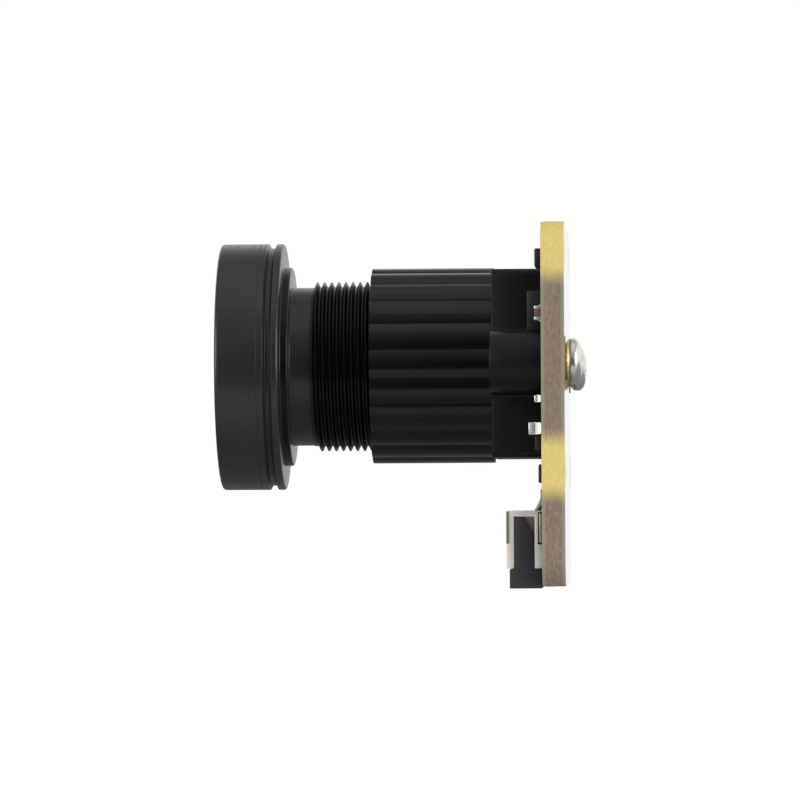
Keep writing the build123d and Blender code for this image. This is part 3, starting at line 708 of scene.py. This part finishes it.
for rings in [(rims[-1], hole[0]), (hole[-1], room[0]), (room[-1], rims[0])]:
    filled(bm, rings)
bmesh.ops.recalc_face_normals(bm, faces=bm.faces)
bm.from_mesh(reeded_barrel.data)
bpy.data.objects.remove(reeded_barrel)
holder = piece_from(bm, "lens_holder_moulding", 24)
dressed(holder, holder_black, "board", "holder_plastic", "lens_holder")

# Infrared filter: a thin sheet of blue-green glass with polished faces. It is glued behind the
# holder's window, in the room for the sensor.
filter_glass, tree, shader = surface(
    "infrared_filter_glass", Base_Color="#9fd0d6", Roughness=0.02, IOR=1.52, Transmission_Weight=1.0
)


def softened(node, name, width, material, slot, body="board", segments=2):
    """Dressed copy of a CAD node, with its sharp edges broken by a small round of that width in mm."""
    bm = bmesh.new()
    bm.from_mesh(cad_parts[node].data)
    bmesh.ops.remove_doubles(bm, verts=bm.verts, dist=1e-7)
    bmesh.ops.dissolve_limit(bm, angle_limit=math.radians(1), verts=bm.verts, edges=bm.edges)
    corners = [e for e in bm.edges if e.is_manifold and e.calc_face_angle(0) > math.radians(25)]
    if width:
        bmesh.ops.bevel(
            bm, geom=corners, offset=width * MM, segments=segments, profile=0.5, affect="EDGES",
            clamp_overlap=True,
        )
    dressed(piece_from(bm, name), material, body, slot, node)


softened("infrared_filter", "infrared_filter_sheet", 0.02, filter_glass, "filter_glass", segments=1)

# Lens barrel: turned aluminium, anodised black: a stem with a fine thread, a plain neck, a step
# ring, and the head, with a groove and the spigot that the front cap screws on to.
thread_rear, thread_front = 4.2, 16.14
crest_radius, thread_depth, thread_pitch = 5.95, 0.35, 0.5
root_radius = crest_radius - thread_depth
neck_radius = 5.555
step_rear, step_radius = 17.65, 6.975
flange_rear, head_radius = 18.21, 8.65
groove_rear, groove_front, groove_depth = 18.70, 19.32, 0.3
cap_rear, cap_front = 19.75, 22.65
spigot_radius, spigot_front, spigot_wall = 7.95, 20.35, 0.8
seat_rear = 19.48
front_bore, rear_bore = 4.85, 4.2
lip_radius, lip_rear, lip_front = 3.6, 13.6, 15.0
groove_slope = 0.165
black_full, black_end = thread_front - 0.14, thread_front + 0.06
ring_middle, ring_half = (step_rear + flange_rear) / 2, (flange_rear - step_rear) / 2 - 0.06
ring_from = step_radius - 0.075
anodised_black, tree, shader = surface("black_anodised_aluminium")
place, xyz = place_on(tree)
flat_spot = add_node(tree, "ShaderNodeCombineXYZ", None, {"X": xyz["X"], "Y": xyz["Z"]})
from_axis = add_node(tree, "ShaderNodeVectorMath", "LENGTH", [flat_spot])
tool_marks = add_node(tree, "ShaderNodeCombineXYZ", None, {"X": xyz["Y"], "Y": from_axis})
marks = add_node(tree, "ShaderNodeTexNoise", None, {"Vector": tool_marks, "Scale": 16 / MM, "Detail": 3.0})
bloom = add_node(tree, "ShaderNodeTexNoise", None, {"Vector": place, "Scale": 0.35 / MM, "Detail": 3.0})
tint = add_node(
    tree, "ShaderNodeMix", {"data_type": "RGBA"}, {"Factor": bloom, "A": "#323235", "B": "#3d3d41"}
)
# The thread and the outer face of the step ring are painted darker than the rest: near black, with no metal
# and little shine. On the step ring this is a painted dark reflection.
threaded = add_node(tree, "ShaderNodeMapRange", gradual, {
    "Value": xyz["Y"], "From Min": -(thickness + black_end) * MM,
    "From Max": -(thickness + black_full) * MM,
})
off_ring = add_node(tree, "ShaderNodeMath", "ADD", [xyz["Y"], (thickness + ring_middle) * MM])
off_ring_plain = add_node(tree, "ShaderNodeMath", "ABSOLUTE", [off_ring])
along_ring = add_node(tree, "ShaderNodeMath", "LESS_THAN", [off_ring_plain, ring_half * MM])
out_on_ring = add_node(tree, "ShaderNodeMath", "GREATER_THAN", [from_axis, ring_from * MM])
on_ring = add_node(tree, "ShaderNodeMath", "MULTIPLY", [along_ring, out_on_ring])
painted_dark_zones = add_node(tree, "ShaderNodeMath", "MAXIMUM", [threaded, on_ring])
patterned(tree, shader, painted_dark_zones, shades=(tint, "#0d0d0e"))
for socket, bare, black in (("Metallic", 0.55, 0.0), ("Specular IOR Level", 0.5, 0.22)):
    level = add_node(tree, "ShaderNodeMapRange", None, {"Value": painted_dark_zones, "To Min": bare, "To Max": black})
    connect(tree, shader, {socket: level})
patterned(tree, shader, marks, sheens=(0.24, 0.34), relief=(0.3, 0.006))


def lathed(name, corners, corner_steps=3):
    """Turned part of the lens, from corners of (radius, place ahead of the board, round) in mm."""
    outline = eased([corner[:2] for corner in corners], [corner[2] for corner in corners], corner_steps)
    return turned(name, outline, steps=256)


joint_half = 0.004
turning_corners = [
    (rear_bore, thread_rear, 0.03), (root_radius, thread_rear, 0.12), (root_radius, thread_front, 0.03),
    (neck_radius, thread_front + 0.05, 0.03), (neck_radius, step_rear, 0.06), (step_radius, step_rear, 0.16),
    (step_radius, flange_rear, 0.04), (head_radius, flange_rear, 0.2), (head_radius, groove_rear, 0.04),
    (head_radius - groove_depth, groove_rear + groove_slope, 0.06),
    (head_radius - groove_depth, groove_front - groove_slope, 0.06),
    (head_radius, groove_front, 0.04), (head_radius, cap_rear - joint_half, 0.012),
    (spigot_radius, cap_rear - joint_half, 0.02), (spigot_radius, spigot_front, 0.04),
    (spigot_radius - spigot_wall, spigot_front, 0.03), (spigot_radius - spigot_wall, seat_rear, 0.02),
    (front_bore, seat_rear, 0.03), (front_bore, lip_front, 0.02), (lip_radius, lip_front, 0.03),
    (lip_radius, lip_rear, 0.03), (rear_bore, lip_rear, 0.02),
]
barrel = lathed("lens_barrel_turning", turning_corners)

tree, given = new_tree("screw_thread", ["Pitch", "Root radius", "Depth", "Start", "Length", "Sunk"])
turns = add_node(tree, "ShaderNodeMath", "DIVIDE", [given["Length"], given["Pitch"]])
helix_radius = add_node(tree, "ShaderNodeMath", "SUBTRACT", [given["Root radius"], given["Sunk"]])
helix = add_node(tree, "GeometryNodeCurveSpiral", None, {
    "Resolution": 96, "Rotations": turns, "Start Radius": helix_radius,
    "End Radius": helix_radius, "Height": given["Length"], "Reverse": True,
})
upright = add_node(tree, "GeometryNodeSetCurveNormal", None, {"Curve": helix})
upright.mode = "Z_UP"
along = add_node(tree, "GeometryNodeSplineParameter")
from_end = add_node(tree, "ShaderNodeMath", "SUBTRACT", [1.0, along])
nearest_end = add_node(tree, "ShaderNodeMath", "MINIMUM", [along, from_end])
run_out_turns = add_node(tree, "ShaderNodeMath", "MULTIPLY", [nearest_end, turns])
run_out = add_node(
    tree, "ShaderNodeMapRange", None,
    {"Value": run_out_turns, "From Min": 0.0, "From Max": 0.2, "To Min": 0.05, "To Max": 1.0},
)
root_share, crest_share = 0.86, 0.16
root_width = add_node(tree, "ShaderNodeMath", "MULTIPLY", [given["Pitch"], root_share])
crest_width = add_node(tree, "ShaderNodeMath", "MULTIPLY", [given["Pitch"], crest_share])
ridge_height = add_node(tree, "ShaderNodeMath", "ADD", [given["Depth"], given["Sunk"]])
ridge = add_node(tree, "GeometryNodeCurvePrimitiveQuadrilateral", {"mode": "TRAPEZOID"}, {
    "Bottom Width": root_width, "Top Width": crest_width, "Offset": 0.0, "Height": ridge_height,
})
half_height = add_node(tree, "ShaderNodeMath", "DIVIDE", [ridge_height, 2.0])
lift = add_node(tree, "ShaderNodeCombineXYZ", None, {"X": half_height})
ridge_out = add_node(
    tree, "GeometryNodeTransform", None,
    {"Geometry": ridge, "Translation": lift, "Rotation": (0.0, 0.0, -math.pi / 2)},
)
thread_mesh = add_node(
    tree, "GeometryNodeCurveToMesh", None,
    {"Curve": upright, "Profile Curve": ridge_out, "Fill Caps": True, "Scale": run_out},
)
start_place = add_node(tree, "ShaderNodeMath", "MULTIPLY", [given["Start"], -1.0])
start_spot = add_node(tree, "ShaderNodeCombineXYZ", None, {"Y": start_place})
thread_placed = add_node(
    tree, "GeometryNodeTransform", None,
    {"Geometry": thread_mesh, "Translation": start_spot, "Rotation": (math.pi / 2, 0.0, 0.0)},
)
both = add_node(tree, "GeometryNodeJoinGeometry", None, {"Geometry": thread_placed})
connect(tree, both, {"Geometry": given["Geometry"]})
finish_tree(tree, given, both)
thread_margin = 0.1
grown(barrel, tree, {
    "Pitch": thread_pitch * MM, "Root radius": root_radius * MM, "Depth": thread_depth * MM,
    "Start": (thickness + thread_rear + thread_margin) * MM,
    "Length": (thread_front - thread_rear - 2 * thread_margin) * MM, "Sunk": 0.03 * MM,
    "Material": anodised_black,
}, sharp_angle=40)
dressed(barrel, anodised_black, "lens", "lens_metal", "lens_barrel")

# Front cap: turned from the same bar and screwed over the spigot. Its lip holds the front glass,
# and its mouth opens as a shallow cone.
cap_bore = 7.99
lip_seat, hood_step = 20.41, 20.86
hood_front_radius, hood_rear_radius = 7.6, 6.3
cap_corners = [
    (cap_bore, cap_rear + joint_half, 0.02), (head_radius, cap_rear + joint_half, 0.012),
    (head_radius, cap_front, 0.28), (hood_front_radius, cap_front, 0.06), (hood_rear_radius, hood_step, 0.03),
    (hood_rear_radius, lip_seat, 0.02), (cap_bore, lip_seat, 0.02),
]
cap = lathed("front_cap_turning", cap_corners, 5)
dressed(cap, anodised_black, "lens", "lens_metal", "front_cap")

# Lens elements: ground and polished optical glass, five of them, with a thin coating on each
# polished face that gives a blue sheen, and an amber one deeper in.
coated_glass, tree, shader = surface(
    "coated_optical_glass", Base_Color="#f6faf8", Roughness=0.0, IOR=1.62, Transmission_Weight=1.0,
    Thin_Film_Thickness=125.0, Thin_Film_IOR=1.38,
)


def element(name, node, radius, rear, front, rear_clear, front_clear, rear_bulge, front_bulge, steps=14):
    """Lens element with a ground edge. A face's bulge is negative for a hollow and 0 for a flat."""
    outline = []
    for reach, at, rise, sign in ((front_clear, front, front_bulge, 1), (rear_clear, rear, rear_bulge, -1)):
        face = [(0, at), (reach, at)]
        if rise:
            sphere = (reach**2 + rise**2) / (2 * abs(rise))
            radii = [reach * k / steps for k in range(steps + 1)]
            falls = [sphere - math.sqrt(sphere**2 - r**2) for r in radii]
            face = [(r, at + sign * math.copysign(abs(rise) - fall, rise)) for r, fall in zip(radii, falls)]
        outline += face + [(radius, at)] if sign == 1 else [(radius, at)] + face[::-1]
    dressed(turned(name, outline, steps=96), coated_glass, "lens_inside", "lens_glass", node)


glass_play = 0.03
front_glass_radius = spigot_radius - spigot_wall - glass_play
wide_radius, small_radius = front_bore - glass_play, rear_bore - glass_play
clear, wide_clear, bulge = 3.2, 4.27, 0.45
stop_rear, stop_front = 11.65, 11.8
second_front, fourth_rear, fifth_front, fifth_rear = 16.6, 9.6, 8.4, 6.6
element("front_element", "front_glass", front_glass_radius, seat_rear, 20.38, 4.4, 6.3, -1.4, 1.45)
element("second_element", "second_glass", wide_radius, lip_front, second_front, clear, wide_clear, 0, bulge)
element("third_element", "third_glass", small_radius, stop_front, lip_rear, clear, clear, 0, bulge)
element("fourth_element", "fourth_glass", small_radius, fourth_rear, stop_rear, clear, clear, bulge, 0)
element("rear_element", "rear_glass", small_radius, fifth_rear, fifth_front, clear, clear, 0, bulge)

# Rings inside the lens: thin black spacers, the aperture stop and the rear retainer, blackened
# so that they send no light back.
flat_black, tree, shader = surface("flat_black_coating", Base_Color="#070708", Roughness=0.75, IOR=1.4)
patterned(tree, shader, (9.0, 2.0), relief=(0.1, 0.01))
for name, node, outer, inner, rear, front in [
    ("front_spacer_ring", "front_spacer", wide_radius, wide_clear, second_front, seat_rear),
    ("aperture_stop_ring", "aperture_stop", small_radius, 1.3, stop_rear, stop_front),
    ("rear_spacer_ring", "rear_spacer", small_radius, 3.62, fifth_front, fourth_rear),
    ("rear_retainer_ring", "rear_retainer", small_radius, clear, 5.9, fifth_rear),
]:
    outline = eased([(inner, rear), (outer, rear), (outer, front), (inner, front)], 0.03)
    dressed(turned(name, outline, steps=96), flat_black, "lens_inside", "black_ring", node)

# Image sensor: a fired ceramic package, soldered to the board, with the polished silicon die on
# its floor. A glass lid is glued over it.
dark_ceramic, tree, shader = surface("dark_ceramic", Roughness=0.5, IOR=1.6)
patterned(tree, shader, (4.0, 4.0), shades=("#3a332d", "#4a423a"))
softened("sensor_package", "sensor_package_ceramic", 0.04, dark_ceramic, "ceramic")
polished_silicon, tree, shader = surface("polished_silicon", Metallic=0.7, Roughness=0.12)
place = add_node(tree, "ShaderNodeTexCoord").outputs["Object"]
cells = add_node(tree, "ShaderNodeTexBrick", {"offset": 0.0}, {
    "Vector": place, "Scale": 4 / MM, "Color1": "#3e4a5e", "Color2": "#45405c",
    "Mortar": "#272b33", "Mortar Size": 0.03,
})
connect(tree, shader, {"Base Color": cells})
softened("sensor_die", "sensor_die_silicon", 0.0, polished_silicon, "silicon")
softened("sensor_cover_glass", "sensor_lid_glass", 0.03, coated_glass, "lens_glass")

# Flat-cable socket: moulded in natural nylon, a pale cream that lets a little light in, with its
# end walls cut back. Its contacts and two tabs hold it to the board.
natural_nylon, tree, shader = surface(
    "natural_nylon", Roughness=0.42, IOR=1.53, Subsurface_Weight=0.6, Subsurface_Radius=(1.0, 0.85, 0.65),
    Subsurface_Scale=0.8 * MM,
)
patterned(tree, shader, (0.6, 3.0), shades=("#dbd1c7", "#e8e0d8"))
patterned(tree, shader, (7.0, 3.0), relief=(0.3, 0.01))
softened("cable_socket", "cable_socket_moulding", 0.05, natural_nylon, "socket_plastic")

# Cable lock: a bar moulded in black plastic, with a finely grained face. It pushes up into the
# socket and presses the cable on the contacts.
lock_black, tree, shader = surface("moulded_dark_plastic", Roughness=0.5, IOR=1.5)
patterned(tree, shader, (5.0, 4.0), shades=("#28282a", "#343437"), relief=(0.3, 0.01))
softened("cable_lock", "cable_lock_bar", 0.05, lock_black, "lock_plastic", "lock")

# Contacts: a row stamped from bronze strip and plated with bright tin. Each sits in a slot of the
# socket and is soldered to the board.
tin_plate, tree, shader = surface("tin_plate", Metallic=1.0, Base_Color="#f2f0ec")
patterned(tree, shader, (3.0, 4.0), sheens=(0.36, 0.5))
softened("cable_contacts", "contact_row", 0.02, tin_plate, "contact_metal", segments=1)

# Anchor tabs: the same strip, left dull, soldered beside the socket. A narrow edge of it also shows
# on the outer wall at each end of the socket.
dull_tin, tree, shader = surface("dull_tin_plate", Metallic=1.0, Base_Color="#b4b0a7", Roughness=0.45)
softened("anchor_tabs", "anchor_tab_pair", 0.04, dull_tin, "contact_metal")
socket_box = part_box("cable_socket")
strip_low, strip_high = bottom + 2.95, bottom + 5.14
strip_near, strip_far = 2.27, 2.47
strip_sunk, strip_proud = 0.15, 0.02
bm = bmesh.new()
for side, corner in zip((-1, 1), socket_box):
    wall = corner.x / MM
    ends = sorted((wall - side * strip_sunk, wall + side * strip_proud))
    for x in ends:
        for ahead in (strip_near, strip_far):
            for z in (strip_low, strip_high):
                bm.verts.new(spot(x, ahead, z))
    corners = list(bm.verts)[-8:]
    for face in ((0, 1, 3, 2), (4, 6, 7, 5), (0, 4, 5, 1), (2, 3, 7, 6), (0, 2, 6, 4), (1, 5, 7, 3)):
        bm.faces.new([corners[k] for k in face])
bmesh.ops.recalc_face_normals(bm, faces=bm.faces)
dressed(piece_from(bm, "socket_strips"), dull_tin, "board", "contact_metal")

# Chip capacitors: blocks of fired ceramic, an even brown, with tinned ends by which they are
# soldered to the board.
fired_ceramic, tree, shader = surface("fired_brown_ceramic", Roughness=0.4, IOR=1.6)
patterned(tree, shader, (3.5, 3.0), shades=("#745a4c", "#8c6e60"))
softened("capacitor_bodies", "capacitor_blocks", 0.05, fired_ceramic, "capacitor_ceramic")
softened("capacitor_ends", "capacitor_caps", 0.05, tin_plate, "contact_metal")

# Chip resistors: ceramic chips with a smooth black glaze over the resistive film, and tinned
# ends like the capacitors'.
black_glaze, tree, shader = surface("black_glaze", Base_Color="#1c1c1e", Roughness=0.22, IOR=1.55)
softened("resistor_bodies", "resistor_chips", 0.03, black_glaze, "resistor_coat")
softened("resistor_ends", "resistor_caps", 0.03, tin_plate, "contact_metal")

# Solder: a hollow fillet from the board up the outer face of each end of the chip parts. Each point
# of the starting mesh is the foot of one end's outer face, and holds its turn and its size.
solder, tree, shader = surface("tin_solder", Metallic=1.0, Base_Color="#ddd8d5", Roughness=0.45)
patterned(tree, shader, (2.5, 3.0), relief=(0.3, 0.015))
fillet_reach, fillet_rise, fillet_sunk = 0.26, 0.62, 0.03
feet = []
for node in ("capacitor_ends", "resistor_ends"):
    bm = bmesh.new()
    bm.from_mesh(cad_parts[node].data)
    bmesh.ops.remove_doubles(bm, verts=bm.verts, dist=1e-7)
    boxes, left = [], set(bm.verts)
    while left:
        island, queue = [], [left.pop()]
        while queue:
            vertex = queue.pop()
            island.append(vertex.co)
            for edge in vertex.link_edges:
                other = edge.other_vert(vertex)
                if other in left:
                    left.discard(other)
                    queue.append(other)
        boxes.append([Vector(pick(c[axis] for c in island) for axis in range(3)) for pick in (min, max)])
    bm.free()
    for low, high in boxes:
        middle = (low + high) / 2
        away = min((middle - (a + b) / 2 for a, b in boxes if (a, b) != (low, high)), key=lambda v: v.length)
        along_x = abs(away.x) > abs(away.z)
        across, up = (away.x, 0) if along_x else (0, away.z)
        outward = Vector((across, 0, up)).normalized()
        size = high - low
        foot = middle + outward * ((size.x if along_x else size.z) / 2 - fillet_sunk * MM)
        foot.y = -thickness * MM
        heading = math.atan2(-outward.z, outward.x)
        feet.append((foot, heading, (size.z if along_x else size.x), size.y * fillet_rise))
foot_mesh = bpy.data.meshes.new("solder_fillets")
foot_mesh.from_pydata([foot for foot, heading, wide, tall in feet], [], [])
turns = foot_mesh.attributes.new("turn", "FLOAT_VECTOR", "POINT")
sizes = foot_mesh.attributes.new("size", "FLOAT_VECTOR", "POINT")
for k, (foot, heading, wide, tall) in enumerate(feet):
    turns.data[k].vector = (0, heading, 0)
    sizes.data[k].vector = (fillet_reach * MM, tall, wide)
fillets = bpy.data.objects.new("solder_fillets", foot_mesh)
bpy.context.collection.objects.link(fillets)
tree, given = new_tree("solder_fillet", ["Hollow"], ["Steps"])
block = add_node(
    tree, "GeometryNodeMeshCube", None,
    {"Size": (1.0, 1.0, 1.0), "Vertices X": given["Steps"], "Vertices Y": 2, "Vertices Z": 5},
)
block_place = add_node(tree, "GeometryNodeInputPosition")
block_parts = add_node(tree, "ShaderNodeSeparateXYZ", None, [block_place]).outputs
reach = add_node(tree, "ShaderNodeMath", "ADD", [block_parts["X"], 0.5])
remaining = add_node(tree, "ShaderNodeMath", "SUBTRACT", [1.0, reach])
fall = add_node(tree, "ShaderNodeMath", "POWER", [remaining, given["Hollow"]])
rise = add_node(tree, "ShaderNodeMath", "SUBTRACT", [0.5, block_parts["Y"]])
height = add_node(tree, "ShaderNodeMath", "MULTIPLY", [rise, fall])
height_down = add_node(tree, "ShaderNodeMath", "MULTIPLY", [height, -1.0])
spread = add_node(tree, "ShaderNodeMapRange", None, {"Value": reach, "To Min": 1.0, "To Max": 0.82})
breadth = add_node(tree, "ShaderNodeMath", "MULTIPLY", [block_parts["Z"], spread])
shaped = add_node(tree, "ShaderNodeCombineXYZ", None, {"X": reach, "Y": height_down, "Z": breadth})
fillet = add_node(tree, "GeometryNodeSetPosition", None, {"Geometry": block, "Position": shaped})
turn = add_node(tree, "GeometryNodeInputNamedAttribute", {"data_type": "FLOAT_VECTOR"}, {"Name": "turn"})
size = add_node(tree, "GeometryNodeInputNamedAttribute", {"data_type": "FLOAT_VECTOR"}, {"Name": "size"})
set_on = add_node(tree, "GeometryNodeInstanceOnPoints", None, {
    "Points": given["Geometry"], "Instance": fillet, "Rotation": turn, "Scale": size,
})
finish_tree(tree, given, set_on)
grown(fillets, tree, {"Steps": 7, "Hollow": 2.0, "Material": solder}, sharp_angle=40)
dressed(fillets, solder, "board", "contact_metal")

# Moulded chips: blocks of epoxy filled with fine silica, which gives a matt dark grey with a
# faint sparkle. They sit on the board.
moulded_epoxy, tree, shader = surface("moulded_epoxy", Roughness=0.58, IOR=1.5)
patterned(tree, shader, (12.0, 2.0), shades=("#161618", "#262628"), relief=(0.4, 0.01))
softened("moulded_chips", "moulded_chip_set", 0.03, moulded_epoxy, "chip_plastic")

# Clock oscillator: a fired ceramic base with a satin metal lid, seam-welded on top. The base sits
# on the board.
satin_lid, tree, shader = surface("satin_metal_lid", Metallic=1.0, Base_Color="#cfc9b8", Roughness=0.36)
softened("oscillator_base", "oscillator_ceramic", 0.04, dark_ceramic, "ceramic")
softened("oscillator_lid", "oscillator_cover", 0.04, satin_lid, "lid_metal")
